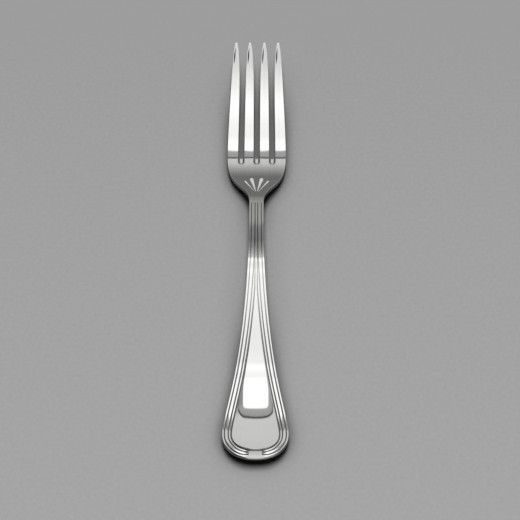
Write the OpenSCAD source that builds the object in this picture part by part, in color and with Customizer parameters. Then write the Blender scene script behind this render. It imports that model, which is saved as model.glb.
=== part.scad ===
// Child's table fork: one stamped steel blank, divided at its design lines into named solids.
// Frame: +Y runs from the handle end to the tine tips, +X to the right, +Z up from the table.
// The origin is on the table, under the middle of the fork. Units are millimetres.

/* [Lengths] */
// Tine, from its root to its tip
tine_l = 42; // [36:0.5:48]
// Head, from the tine roots to the neck
head_l = 19.5; // [17:0.5:23]
// Neck, of constant width
neck_l = 10; // [7:0.5:13]
// Handle, from the neck to its rounded end
handle_l = 78.5; // [70:0.5:88]

/* [Head and tines] */
// Width across the roots of the outer tines
head_w = 19.4; // [18.4:0.1:22]
// Width of a slot between two tines
slot_w = 2.05; // [1.8:0.05:2.5]
// Distance between the centre lines of neighbouring slots
slot_pitch = 5.15; // [4.6:0.05:5.4]
// Reach of a slot's end into the head, up to the middle of its round
slot_in = 1; // [0.5:0.1:2]
// Depth of a slot's end below the face of the head
slot_end_h = 0.5; // [0.3:0.05:0.8]
// Distance between the tips of the two inner tines
inner_tip_span = 4.9; // [4.2:0.1:5.6]
// Distance between the tips of the two outer tines
outer_tip_span = 14.2; // [13.4:0.1:15.4]
// Width of a tine where its point begins
waist_w = 2.7; // [2.2:0.05:2.9]
// Length of the tapered point of a tine
point_l = 12; // [8:0.5:16]
// Slope of a point's sides just behind the nose
point_slope = 0.05; // [0.02:0.01:0.1]
// Length of the rounded nose of a tine
nose_l = 3.6; // [2:0.1:6]
// Width of that nose at its back
nose_w = 1.85; // [1.3:0.05:2.1]
// Length over which the neck's edge runs straight on into the shoulder
shoulder_neck_lead = 8.5; // [6:0.5:10]
// Length over which the head's edge runs straight down into the shoulder
shoulder_head_lead = 13; // [9:0.5:14]

/* [Neck and handle] */
// Width of the neck
neck_w = 4.7; // [4.4:0.05:5.5]
// Greatest width of the handle
handle_w = 20.1; // [18:0.1:23]
// Length of the rounded end past the widest place
round_end_l = 8.5; // [6:0.25:10]
// Squareness of the rounded end, where 2 is an ellipse
round_end_power = 2.2; // [2:0.1:3]
// Length over which the neck's edge runs straight on into the flare
flare_neck_lead = 42; // [34:0.5:48]
// Length over which the widest edge runs straight back into the flare
flare_end_lead = 6.5; // [3:0.5:12]

/* [Bend] */
// Height of the back of the tine tips over the table
tip_lift = 9.6; // [6:0.1:12]
// Slope of the tine tips, rise over run
tip_slope = 0.38; // [0.2:0.01:0.5]
// Distance of the lowest line of the bowl from the tine roots, towards the tips
bowl_forward = 0.25; // [0:0.25:3]
// Height of the back over the table where the head meets the neck
neck_lift = 3.05; // [2.6:0.05:4.2]
// Slope where the head meets the neck, rise over run
neck_slope = 0.18; // [0.1:0.01:0.24]
// Length of the straight run behind the head, up to the arch
neck_run = 16; // [12:0.5:18]
// Height of the top of the arch over the end of that run
arch_rise = 0.3; // [0.1:0.02:0.4]
// Distance of the top of the arch from the head
arch_back = 22.5; // [20:0.5:28]
// Share of the fall behind the arch that is bent at each of its ends
fall_bend = 0.15; // [0.1:0.05:0.5]
// Length of the flat under the handle that lies on the table
rest_l = 8; // [5:0.5:10]
// Distance of that flat from the handle's end
rest_from_end = 18.5; // [17:0.5:24]
// Height of the back of the handle's end over the table
end_lift = 1.75; // [0.5:0.05:3]
// Slope of the handle's end, rise over run
end_slope = 0.18; // [0.05:0.01:0.3]

/* [Thickness] */
// Tine tip
tip_t = 1.2; // [0.8:0.05:1.6]
// Bowl, at its lowest line
bowl_t = 1.9; // [1.5:0.05:2.4]
// Neck, up to the top of the arch
neck_t = 2.8; // [2.4:0.05:3.6]
// Handle, over its flat and its end
handle_t = 2.4; // [2:0.05:3]

/* [Thread moulding] */
// Height of the rim, the main threads and the spine over their bed
thread_h = 0.35; // [0.2:0.05:0.6]
// Height of the fine threads over the bed
fine_h = 0.2; // [0.1:0.05:0.4]
// Width of the rim thread along the edge
rim_w = 0.65; // [0.5:0.05:0.7]
// Width of a main thread
bead_w = 0.95; // [0.7:0.05:1.1]
// Width of a fine thread
fine_w = 0.6; // [0.3:0.05:0.7]
// Width of a groove between threads
groove_w = 0.2; // [0.1:0.01:0.22]
// Gap between the ends of the threads at the handle's end
thread_gap = 4.1; // [2:0.1:7]
// Height of the panel's edge over the bed where the panel is wide
panel_h = 0.2; // [0.1:0.05:0.4]
// Radius of the panel's crown from side to side
crown_r = 40; // [30:1:80]

/* [Fan ornament] */
// Distance of the fan's root from the neck
fan_root = 3.9; // [3:0.1:6]
// Gap between the fan's root and the thin end of each petal
petal_clear = 1; // [0.8:0.1:1.6]
// Reach of an inner petal from the fan's root
inner_petal_l = 7.3; // [4:0.1:8]
// Reach of an outer petal from the fan's root
outer_petal_l = 7; // [3:0.1:8]
// Width of an inner petal at its round end
inner_petal_w = 1.25; // [0.6:0.05:1.3]
// Width of an outer petal at its round end
outer_petal_w = 0.6; // [0.3:0.05:0.9]
// Angle of the inner petals from the middle line
inner_petal_angle = 14; // [10:1:20]
// Angle of the outer petals from the middle line
outer_petal_angle = 34; // [32:1:48]
// Height of a petal over the face
petal_h = 0.12; // [0.05:0.01:0.2]

/* [Hidden] */

// Longest flat strip in a bent surface
strip_l = 1.5;
// Pieces of each curved stretch of an outline
curve_steps = 28;
// Pieces of half a tine's nose and of half a petal's round end, and a quarter of those round a slot's end
nose_steps = 5;
// Facets across half of the crowned panel
crown_steps = 4;
// Reach of a cutting shape past what it cuts
margin = 2;
steel = "gainsboro";
bright_steel = "whitesmoke";
shaded_steel = "silver";

// Places along the fork
overall_l = tine_l + head_l + neck_l + handle_l;
y_tip = overall_l / 2;
y_root = y_tip - tine_l;
y_bowl = y_root + bowl_forward;
y_neck = y_root - head_l;
y_bend = y_neck - neck_run;
y_arch = y_neck - arch_back;
y_handle = y_neck - neck_l;
y_end = -overall_l / 2;
y_widest = y_end + round_end_l;
y_rest_back = y_end + rest_from_end;
y_rest_front = y_rest_back + rest_l;

// Insets of the thread moulding from the edge, and the spine between the threads of the neck
bead_in = rim_w + groove_w;
fine_in = bead_in + bead_w + groove_w;
panel_in = fine_in + fine_w + groove_w;
spine_w = neck_w - 2 * fine_in;

// Height of the back at the top of the arch over the table
arch_h = neck_lift + neck_slope * neck_run + arch_rise;

// Size of a cutting shape that takes in the whole fork, across and upwards
cut_w = head_w + handle_w + 2 * margin;
cut_h = arch_h + tip_lift + neck_t + 2 * margin;

// Curves
function ease(t) = t * t * (3 - 2 * t);
function mix(a, b, t) = a + (b - a) * t;
function part_way(from, to, y) = min(1, max(0, (y - from) / (to - from)));
// A rise from z0 to z1 whose slopes at the two ends, times its run, are s0 and s1
function sweep(t, z0, z1, s0, s1) = mix(z0, z1, ease(t)) + t * (1 - t) * (s0 * (1 - t) - s1 * t);
// A rise from 0 to 1 that is straight between a bend at each end
function glide(t, bend) =
  t < bend ? t * t / 2 / bend / (1 - bend) :
  t <= 1 - bend ? (t - bend / 2) / (1 - bend) :
  1 - (1 - t) * (1 - t) / 2 / bend / (1 - bend);
function bezier(a, b, c, d, t) =
  let (s = 1 - t) a * s * s * s + b * 3 * s * s * t + c * 3 * s * t * t + d * t * t * t;
function mirrored(points) = [for (p = points) [-p[0], p[1]]];
function reversed(list) = [for (i = [len(list) - 1 : -1 : 0]) list[i]];

// Power of the bend into the arch, which starts with the neck's slope and slows towards the top
bend_power = neck_slope * (y_bend - y_arch) / arch_rise;

// Height of the back over the table: lifted tips, bowl, straight neck, arch, flat rest, lifted end
back = function(y)
  y >= y_bowl ? sweep(part_way(y_bowl, y_tip, y), 0, tip_lift, 0, tip_slope * (y_tip - y_bowl)) :
  y >= y_neck ? sweep(part_way(y_bowl, y_neck, y), 0, neck_lift, 0, neck_slope * (y_bowl - y_neck)) :
  y >= y_bend ? neck_lift + neck_slope * (y_neck - y) :
  y >= y_arch ? arch_h - arch_rise * pow(part_way(y_arch, y_bend, y), bend_power) :
  y >= y_rest_front ? arch_h * glide(part_way(y_rest_front, y_arch, y), fall_bend) :
  sweep(part_way(y_rest_back, y_end, y), 0, end_lift, 0, end_slope * rest_from_end);

function thickness(y) =
  y >= y_bowl ? mix(bowl_t, tip_t, ease(part_way(y_bowl, y_tip, y))) :
  y >= y_neck ? mix(bowl_t, neck_t, ease(part_way(y_bowl, y_neck, y))) :
  mix(handle_t, neck_t, glide(part_way(y_rest_front, y_arch, y), fall_bend));

// Height of the plain face, and of the bed that the threads stand on
face = function(y) back(y) + thickness(y);
bed = function(y) face(y) - thread_h;

// Places where the flat strips of the bent surfaces meet: the rest and the straight run are one strip each
bend_places = [y_end, y_rest_back, y_rest_front, y_arch, y_bend, y_neck, y_bowl, y_tip];
function strips(from, to) = from == y_rest_back || from == y_bend ? 1 : ceil((to - from) / strip_l);
bend_ys = [
  y_end - margin,
  for (k = [0 : len(bend_places) - 2])
    let (from = bend_places[k], to = bend_places[k + 1], count = strips(from, to))
      for (i = [0 : count - 1]) mix(from, to, i / count),
  y_tip,
  y_tip + margin
];

// What lies inside a plan outline, between two heights that change along the fork
module slab(outline, low, high) {
  outline_ys = [for (p = outline) p[1]];
  final = len(bend_ys) - 1;
  ys = [
    for (i = [0 : final])
      if (bend_ys[min(i + 1, final)] >= min(outline_ys) && bend_ys[max(i - 1, 0)] <= max(outline_ys))
        bend_ys[i]
  ];
  intersection() {
    translate([0, 0, -margin]) linear_extrude(cut_h) polygon(outline);
    rotate([90, 0, 90])
      linear_extrude(cut_w, center = true)
        polygon(concat([for (y = ys) [y, low(y)]], [for (y = reversed(ys)) [y, high(y)]]));
  }
}

// Half width of a tine at a distance from its tip: rounded nose, tapered point, slow swell to the root
function tine_half(d, root_w) =
  let (run = point_l - nose_l, swell_l = tine_l - point_l, swell = (root_w - waist_w) / 2)
  d <= nose_l ? nose_w / 2 * sqrt(d / nose_l) :
  d <= point_l ?
    sweep((d - nose_l) / run, nose_w / 2, waist_w / 2, point_slope * run, 2 * swell / swell_l * run) :
  root_w / 2 - swell * pow((tine_l - d) / swell_l, 2);

module tine(root_x, root_w, tip_x) {
  // Distances from the tip, closest together at the nose
  ds = concat(
    [for (i = [0 : nose_steps - 1]) nose_l * pow(i / nose_steps, 2)],
    [for (i = [0 : curve_steps]) mix(nose_l, tine_l, i / curve_steps)]
  );
  function middle(d) = mix(tip_x, root_x, ease(d / tine_l));
  right = [for (d = ds) [middle(d) + tine_half(d, root_w), y_tip - d]];
  left = [for (i = [1 : len(ds) - 1]) [middle(ds[i]) - tine_half(ds[i], root_w), y_tip - ds[i]]];
  color(bright_steel) slab(concat(right, reversed(left)), back, face);
}

module inner_tine(side) {
  tine(side * slot_pitch / 2, slot_pitch - slot_w, side * inner_tip_span / 2);
}

module outer_tine(side) {
  slot_side = slot_pitch + slot_w / 2;
  tine(side * (head_w / 2 + slot_side) / 2, head_w / 2 - slot_side, side * outer_tip_span / 2);
}

// Plan of a slot's end in the head, seen from the middle of its round
slot_end = concat(
  [for (i = [-2 * nose_steps : 2 * nose_steps]) let (a = 45 * i / nose_steps) slot_w / 2 * [sin(a), -cos(a)]],
  [[slot_w / 2, slot_in + margin], [-slot_w / 2, slot_in + margin]]
);

// Head, with the sunk ends of the three slots
module head() {
  edge = [
    for (i = [0 : curve_steps])
      bezier(
        [neck_w / 2, y_neck], [neck_w / 2, y_neck + shoulder_neck_lead],
        [head_w / 2, y_root - shoulder_head_lead], [head_w / 2, y_root], i / curve_steps
      )
  ];
  color(steel)
    difference() {
      slab(concat(edge, reversed(mirrored(edge))), back, face);
      for (i = [-1 : 1])
        slab(
          [for (p = slot_end) p + [i * slot_pitch, y_root - slot_in]],
          function(y) face(y) - slot_end_h, function(y) face(y) + margin
        );
    }
}

// Right-hand edge of the neck and handle, from the head to the middle of the rounded end
function flare(t) = bezier(
  [neck_w / 2, y_handle], [neck_w / 2, y_handle - flare_neck_lead],
  [handle_w / 2, y_widest + flare_end_lead], [handle_w / 2, y_widest], t
);
function round_end(angle) = [
  handle_w / 2 * pow(cos(angle), 2 / round_end_power),
  y_widest - round_end_l * pow(sin(angle), 2 / round_end_power)
];
handle_edge = concat(
  [[neck_w / 2, y_neck]],
  [for (i = [0 : curve_steps]) flare(i / curve_steps)],
  [for (i = [1 : curve_steps]) round_end(90 * i / curve_steps)]
);
last = len(handle_edge) - 1;

// The same edge, moved in by a distance that is square to it
function heading(i) =
  i == 0 ? [0, -1] :
  i == last ? [-1, 0] :
  let (d = handle_edge[i + 1] - handle_edge[i - 1]) d / norm(d);
function inset(distance) = [
  for (i = [0 : last]) handle_edge[i] + distance * [heading(i)[1], -heading(i)[0]]
];

module neck() {
  half = neck_w / 2;
  color(shaded_steel)
    slab([[half, y_neck], [half, y_handle], [-half, y_handle], [-half, y_neck]], back, bed);
}

module handle() {
  edge = [for (p = handle_edge) if (p[1] <= y_handle) p];
  color(shaded_steel) slab(concat(edge, reversed(mirrored(edge))), back, bed);
}

// Thread along the whole edge of the neck and handle, with the land between the ends of the threads
module rim_thread() {
  inside = inset(rim_w);
  land_x = thread_gap / 2 - groove_w;
  land_y = y_end + panel_in - groove_w;
  joined_y = y_end + rim_w / 2;
  color(bright_steel) {
    slab(
      concat(handle_edge, reversed(mirrored(handle_edge)), mirrored(inside), reversed(inside)),
      bed, face
    );
    slab([[land_x, joined_y], [land_x, land_y], [-land_x, land_y], [-land_x, joined_y]], bed, face);
  }
}

// Thread beside the edge, from where its inner side has room beside the spine to the gap at the end
module side_thread(side, near, width, height) {
  outside = inset(near);
  inside = inset(near + width);
  function least_x(y) = y > y_widest ? (spine_w + groove_w) / 2 : thread_gap / 2;
  kept = [for (i = [0 : last]) if (inside[i][0] >= least_x(inside[i][1])) i];
  strip = concat([for (i = kept) outside[i]], [for (i = reversed(kept)) inside[i]]);
  color(bright_steel)
    slab(side > 0 ? strip : mirrored(strip), bed, function(y) bed(y) + height);
}

module main_thread(side) {
  side_thread(side, bead_in, bead_w, thread_h);
}

module fine_thread(side) {
  side_thread(side, fine_in, fine_w, fine_h);
}

// Spine of the neck, which widens into the crowned panel of the handle
module centre_panel() {
  // Half width and place of each cross row, from the head to the handle's end
  spine_rows = [for (y = reversed(bend_ys)) if (y < y_neck && y > y_handle) [spine_w / 2, y]];
  panel_rows = [
    for (p = inset(panel_in))
      if (p[1] <= y_handle && (p[1] > y_widest || p[0] > spine_w / 2)) [max(p[0], spine_w / 2), p[1]]
  ];
  rows = concat([[spine_w / 2, y_neck]], spine_rows, panel_rows);
  final = len(rows) - 1;
  across = 2 * crown_steps;
  function edge_h(half) = mix(panel_h, thread_h, spine_w / 2 / half);
  function crown(half, x) = sqrt(crown_r * crown_r - x * x) - sqrt(crown_r * crown_r - half * half);
  tops = [
    for (r = rows, j = [0 : across])
      let (x = r[0] * (j / crown_steps - 1)) [x, r[1], bed(r[1]) + edge_h(r[0]) + crown(r[0], x)]
  ];
  bottoms = [for (r = rows, side = [-1, 1]) [side * r[0], r[1], bed(r[1])]];
  function top(i, j) = i * (across + 1) + j;
  function left(i) = len(tops) + 2 * i;
  function right(i) = left(i) + 1;
  color(bright_steel)
    polyhedron(
      points = concat(tops, bottoms),
      faces = [
        for (i = [0 : final - 1], j = [0 : across - 1]) each [
          [top(i, j), top(i, j + 1), top(i + 1, j + 1)],
          [top(i, j), top(i + 1, j + 1), top(i + 1, j)]
        ],
        for (i = [0 : final - 1]) each [
          [left(i), right(i + 1), right(i)],
          [left(i), left(i + 1), right(i + 1)],
          [top(i, across), right(i), right(i + 1)],
          [top(i, across), right(i + 1), top(i + 1, across)],
          [top(i, 0), top(i + 1, 0), left(i + 1)],
          [top(i, 0), left(i + 1), left(i)]
        ],
        for (j = [0 : across - 1]) each [
          [left(0), top(0, j + 1), top(0, j)],
          [left(final), top(final, j), top(final, j + 1)]
        ],
        [left(0), right(0), top(0, across)],
        [left(final), top(final, across), right(final)]
      ]
    );
}

// One petal of the fan: a drop whose thin end points at the fan's root
module petal(reach, width, angle) {
  r = width / 2;
  drop = concat(
    [[0, petal_clear]],
    [
      for (i = [-nose_steps : nose_steps])
        let (a = 90 * i / nose_steps) [-r * sin(a), reach - r + r * cos(a)]
    ]
  );
  function turned(p) = [p[0] * cos(angle) - p[1] * sin(angle), p[0] * sin(angle) + p[1] * cos(angle)];
  slab([for (p = drop) [0, y_neck + fan_root] + turned(p)], face, function(y) face(y) + petal_h);
}

module fan_ornament() {
  color(bright_steel)
    for (side = [-1, 1]) {
      petal(inner_petal_l, inner_petal_w, side * inner_petal_angle);
      petal(outer_petal_l, outer_petal_w, side * outer_petal_angle);
    }
}

outer_tine(-1);  // left_outer_tine
inner_tine(-1);  // left_inner_tine
inner_tine(1);  // right_inner_tine
outer_tine(1);  // right_outer_tine
head();
neck();
handle();
rim_thread();
main_thread(-1);  // left_thread
main_thread(1);  // right_thread
fine_thread(-1);  // left_fine_thread
fine_thread(1);  // right_fine_thread
centre_panel();
fan_ornament();
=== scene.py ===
"""Looks of the child's table fork: polished steel, with thread moulding along the handle.

Everything is in metres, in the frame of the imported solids: +Y runs from the handle's end to the
tine tips, +X to the right and +Z up from the table.
"""

import math

import bmesh
import bpy
import numpy as np
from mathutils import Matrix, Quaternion, Vector
from mathutils.geometry import delaunay_2d_cdt


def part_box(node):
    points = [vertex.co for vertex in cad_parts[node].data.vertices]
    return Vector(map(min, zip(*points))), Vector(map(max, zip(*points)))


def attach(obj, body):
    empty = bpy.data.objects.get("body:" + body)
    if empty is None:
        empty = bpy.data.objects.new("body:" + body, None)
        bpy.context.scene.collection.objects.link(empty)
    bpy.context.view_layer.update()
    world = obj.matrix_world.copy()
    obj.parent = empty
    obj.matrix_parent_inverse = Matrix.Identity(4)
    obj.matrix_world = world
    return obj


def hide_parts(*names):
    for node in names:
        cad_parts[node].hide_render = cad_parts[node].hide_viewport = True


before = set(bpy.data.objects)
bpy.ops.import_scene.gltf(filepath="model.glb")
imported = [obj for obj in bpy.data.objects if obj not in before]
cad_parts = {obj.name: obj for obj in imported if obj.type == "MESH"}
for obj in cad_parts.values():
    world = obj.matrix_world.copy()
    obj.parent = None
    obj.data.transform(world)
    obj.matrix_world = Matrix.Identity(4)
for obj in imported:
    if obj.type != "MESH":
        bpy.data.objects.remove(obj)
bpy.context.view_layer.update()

MM = 0.001

# Places along the fork, from the solids
Y_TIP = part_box("left_inner_tine")[1].y
Y_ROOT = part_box("head")[1].y
Y_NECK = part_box("neck")[1].y
Y_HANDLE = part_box("neck")[0].y
Y_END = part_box("handle")[0].y
Y_BOWL = Y_ROOT + 0.25 * MM
Y_SLOT = Y_ROOT - 1 * MM
Y_BEND = Y_NECK - 16 * MM
Y_ARCH = Y_NECK - 22.5 * MM
Y_REST_BACK = Y_END + 18.5 * MM
Y_REST_FRONT = Y_REST_BACK + 8 * MM
ROUND_END_L = 8.5 * MM
Y_WIDEST = Y_END + ROUND_END_L

# Widths
HEAD_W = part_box("head")[1].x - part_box("head")[0].x
NECK_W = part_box("neck")[1].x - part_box("neck")[0].x
HANDLE_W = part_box("handle")[1].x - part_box("handle")[0].x
SLOT_W = 2.05 * MM
SLOT_PITCH = 5.15 * MM
INNER_TIP_SPAN = 4.9 * MM
OUTER_TIP_SPAN = 14.2 * MM
WAIST_W = 2.7 * MM
POINT_L = 12 * MM
POINT_SLOPE = 0.05
NOSE_L = 3.6 * MM
NOSE_W = 1.85 * MM
BLUNT_L = 0.8 * MM
BLUNT_SHARE = 0.35
# The steel left in the slot ends: its depth below the face, its gap to the sides and its reach
SLOT_END_H = 0.5 * MM
SLOT_END_GAP = 0.36 * MM
SLOT_END_REACH = 0.4 * MM
ROUND_END_POWER = 2.2
# Leads of the curves from the neck to the head, and from the neck to the widest place of the handle
SHOULDER_NECK_LEAD = 8.5 * MM
SHOULDER_ROOT_LEAD = 13 * MM
FLARE_NECK_LEAD = 42 * MM
FLARE_END_LEAD = 6.5 * MM

# Bend and thickness
TIP_T = 1.2 * MM
BOWL_T = 1.9 * MM
NECK_T = 2.8 * MM
HANDLE_T = 2.4 * MM
TIP_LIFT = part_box("left_inner_tine")[1].z - TIP_T
TIP_SLOPE = 0.38
NECK_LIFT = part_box("neck")[0].z
NECK_SLOPE = 0.18
ARCH_RISE = 0.3 * MM
ARCH_H = NECK_LIFT + NECK_SLOPE * (Y_NECK - Y_BEND) + ARCH_RISE
BEND_POWER = NECK_SLOPE * (Y_BEND - Y_ARCH) / ARCH_RISE
FALL_BEND = 0.15
END_LIFT = 1.75 * MM
END_SLOPE = 0.18

# Thread moulding
THREAD_H = 0.35 * MM
FINE_H = 0.2 * MM
RIM_W = 0.65 * MM
BEAD_W = 0.95 * MM
FINE_W = 0.6 * MM
GROOVE_W = 0.2 * MM
THREAD_GAP = 4.1 * MM
BEAD_IN = RIM_W + GROOVE_W
FINE_IN = BEAD_IN + BEAD_W + GROOVE_W
PANEL_IN = FINE_IN + FINE_W + GROOVE_W
SPINE_W = NECK_W - 2 * FINE_IN
CROWN_R = 40 * MM
PANEL_H = 0.2 * MM
PANEL_EDGE_W = 0.3 * MM
SPINE_EDGE_W = 0.08 * MM
SPINE_CROWN_R = 8 * MM
# Growth of half the width, over which the spine turns into the panel
WIDENING = 2.4 * MM
# Reach of the threads into the head, and of the shallow grooves down the neck
FADE_L = 2.5 * MM
SHALLOW_L = 7 * MM
Y_THREADS = Y_NECK + FADE_L + 0.5 * MM
# Share of their height that the threads lose where they sink into the head
SINK = 0.03
THINNEST_W = 0.1 * MM
# Rounding of the threads' edges, crisp down to one place along the fork and soft from another
CRISP_R = 0.06 * MM
SOFT_R = 0.15 * MM
Y_CRISP = -20 * MM
Y_SOFT = -40 * MM

# Wear of the rim across the handle's end. It starts and is full at these distances from the
# middle, and makes the rim broader, lower and sloping outwards.
WEAR_FROM_X = 4.5 * MM
WEAR_FULL_X = 1.5 * MM
WEAR_EXTRA_W = 0.12 * MM
WEAR_DROP = 0.1 * MM
WEAR_LEAN = 0.33
LAND_H = THREAD_H * 0.85
LAND_EDGE_R = 0.12 * MM

# Fan on the head
Y_FAN = Y_NECK + 3.9 * MM
PETAL_START = 1 * MM
PETAL_H = 0.16 * MM

# Edge radii of the plate, and of the tines' tops
FACE_EDGE_R = 0.15 * MM
BACK_EDGE_R = 0.6 * MM
TINE_EDGE_R = 0.06 * MM

# Facets ground on the tines' points, from and to a distance from the tip
FACET_FROM = 2.2 * MM
FACET_TO = 7.4 * MM
FACET_IN = 0.5 * MM
FACET_HALF_W = 0.22 * MM
FACET_HALF_H = 0.08 * MM
FACET_LEAN = 0.55
FACET_POINTS = 16

# Points closer than this are the same point
SAME_POINT = 0.0004 * MM
# Play in the tests of where a point lies
PLAY = 0.001 * MM
BED_PLAY = 0.01 * MM


# Curves of the blank

def ease(t):
    return t * t * (3 - 2 * t)


def mix(a, b, t):
    return a + (b - a) * t


def part_way(start, stop, y):
    return np.clip((y - start) / (stop - start), 0, 1)


def sweep(t, z0, z1, s0, s1):
    """A rise from z0 to z1 whose slopes at the two ends, times its run, are s0 and s1."""
    return mix(z0, z1, ease(t)) + t * (1 - t) * (s0 * (1 - t) - s1 * t)


def glide(t):
    """A rise from 0 to 1 that is straight between a bend at each end."""
    bend = FALL_BEND
    start = t * t / 2 / bend / (1 - bend)
    stop = 1 - (1 - t) ** 2 / 2 / bend / (1 - bend)
    return np.select([t < bend, t <= 1 - bend], [start, (t - bend / 2) / (1 - bend)], stop)


def bezier(a, b, c, d, t):
    t = np.asarray(t)[:, None]
    s = 1 - t
    first = s**3 * np.array(a) + 3 * s * s * t * np.array(b)
    return first + 3 * s * t * t * np.array(c) + t**3 * np.array(d)


def back(y):
    """Height of the underside over the table."""
    y = np.asarray(y, float)
    tips = sweep(part_way(Y_BOWL, Y_TIP, y), 0, TIP_LIFT, 0, TIP_SLOPE * (Y_TIP - Y_BOWL))
    slope = sweep(part_way(Y_BOWL, Y_NECK, y), 0, NECK_LIFT, 0, NECK_SLOPE * (Y_BOWL - Y_NECK))
    neck = NECK_LIFT + NECK_SLOPE * (Y_NECK - y)
    arch = ARCH_H - ARCH_RISE * part_way(Y_ARCH, Y_BEND, y) ** BEND_POWER
    fall = ARCH_H * glide(part_way(Y_REST_FRONT, Y_ARCH, y))
    end = sweep(part_way(Y_REST_BACK, Y_END, y), 0, END_LIFT, 0, END_SLOPE * (Y_REST_BACK - Y_END))
    places = [y >= Y_BOWL, y >= Y_NECK, y >= Y_BEND, y >= Y_ARCH, y >= Y_REST_FRONT]
    return np.select(places, [tips, slope, neck, arch, fall], end)


def thickness(y):
    y = np.asarray(y, float)
    tines = mix(BOWL_T, TIP_T, ease(part_way(Y_BOWL, Y_TIP, y)))
    head = mix(BOWL_T, NECK_T, ease(part_way(Y_BOWL, Y_NECK, y)))
    handle = mix(HANDLE_T, NECK_T, glide(part_way(Y_REST_FRONT, Y_ARCH, y)))
    return np.select([y >= Y_BOWL, y >= Y_NECK], [tines, head], handle)


def face(y):
    return back(y) + thickness(y)


def bed(y):
    """Height of the bed that the threads stand on."""
    return face(y) - THREAD_H


def groove_floor(y):
    """The bed as it shows between the threads. It rises to the plain face in the head."""
    return face(y) - THREAD_H * (1 - ease(part_way(Y_NECK - SHALLOW_L, Y_NECK + FADE_L, y)))


# Plan outlines

def run_along(points):
    """Distance of each point from the first, along the line."""
    return np.concatenate([[0], np.cumsum(np.linalg.norm(np.diff(points, axis=0), axis=1))])


def even_steps(points, step):
    """The same line, with points at even distances along it."""
    lengths = run_along(points)
    places = np.linspace(0, lengths[-1], max(2, int(round(lengths[-1] / step)) + 1))
    return np.stack([np.interp(places, lengths, values) for values in points.T], axis=1)


def inward(line, first=None, last=None):
    """Unit normals of a line, to the right of its direction of travel."""
    travel = np.gradient(line, axis=0)
    if first is not None:
        travel[0] = first
    if last is not None:
        travel[-1] = last
    travel /= np.linalg.norm(travel, axis=1)[:, None]
    return np.stack([travel[:, 1], -travel[:, 0]], axis=1)


def shoulder_line(step):
    """Right-hand edge of the head, from the neck to the tine roots."""
    points = bezier(
        (NECK_W / 2, Y_NECK), (NECK_W / 2, Y_NECK + SHOULDER_NECK_LEAD),
        (HEAD_W / 2, Y_ROOT - SHOULDER_ROOT_LEAD), (HEAD_W / 2, Y_ROOT), np.linspace(0, 1, 200),
    )
    return even_steps(points, step)


def handle_line(step):
    """Right-hand edge, from the threads' start in the head to the middle of the handle's end."""
    lead = shoulder_line(0.1 * MM)
    lead = lead[lead[:, 1] < Y_THREADS][::-1]
    flare = bezier(
        (NECK_W / 2, Y_HANDLE), (NECK_W / 2, Y_HANDLE - FLARE_NECK_LEAD),
        (HANDLE_W / 2, Y_WIDEST + FLARE_END_LEAD), (HANDLE_W / 2, Y_WIDEST), np.linspace(0, 1, 400),
    )
    angle = np.linspace(0, math.pi / 2, 400)[1:]
    x = HANDLE_W / 2 * np.clip(np.cos(angle), 0, 1) ** (2 / ROUND_END_POWER)
    y = Y_WIDEST - ROUND_END_L * np.sin(angle) ** (2 / ROUND_END_POWER)
    return even_steps(np.concatenate([lead, flare, np.stack([x, y], axis=1)]), step)


EDGE = handle_line(0.3 * MM)
EDGE_IN = inward(EDGE, last=(-1, 0))


def inset(distance):
    return EDGE + distance * EDGE_IN


def mirrored(points):
    return points * np.array([-1, 1])


# Meshes

def new_piece(name, mesh, node, material):
    """A piece of the fork. A mesh that has its finish already comes with None as material."""
    piece = bpy.data.objects.new(name, mesh)
    bpy.context.scene.collection.objects.link(piece)
    if material is not None:
        mesh.materials.clear()
        mesh.materials.append(material)
    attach(piece, "root")
    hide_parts(node)
    return piece


def closed_mesh(name, points, faces):
    """A closed smooth mesh. Doubled points are joined, and open ends get flat, sharp-edged caps."""
    mesh = bpy.data.meshes.new(name)
    mesh.from_pydata([tuple(p) for p in points], [], [tuple(f) for f in faces])
    shape = bmesh.new()
    shape.from_mesh(mesh)
    bmesh.ops.remove_doubles(shape, verts=shape.verts, dist=SAME_POINT)
    bmesh.ops.dissolve_degenerate(shape, edges=shape.edges, dist=SAME_POINT)
    for polygon in shape.faces:
        polygon.smooth = True
    ends = [edge for edge in shape.edges if edge.is_boundary]
    for edge in ends:
        edge.smooth = False
    caps = bmesh.ops.holes_fill(shape, edges=ends, sides=0)["faces"]
    for cap in caps:
        cap.smooth = False
    bmesh.ops.recalc_face_normals(shape, faces=shape.faces)
    shape.to_mesh(mesh)
    shape.free()
    return mesh


def grid_faces(rows, columns, start=0, around=False):
    """Faces between rows of points, which close into rings where they go around."""
    last = columns if around else columns - 1
    return [
        (start + i * columns + j, start + i * columns + (j + 1) % columns,
         start + (i + 1) * columns + (j + 1) % columns, start + (i + 1) * columns + j)
        for i in range(rows - 1) for j in range(last)
    ]


ARC = np.linspace(0, math.pi / 2, 7)


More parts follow.
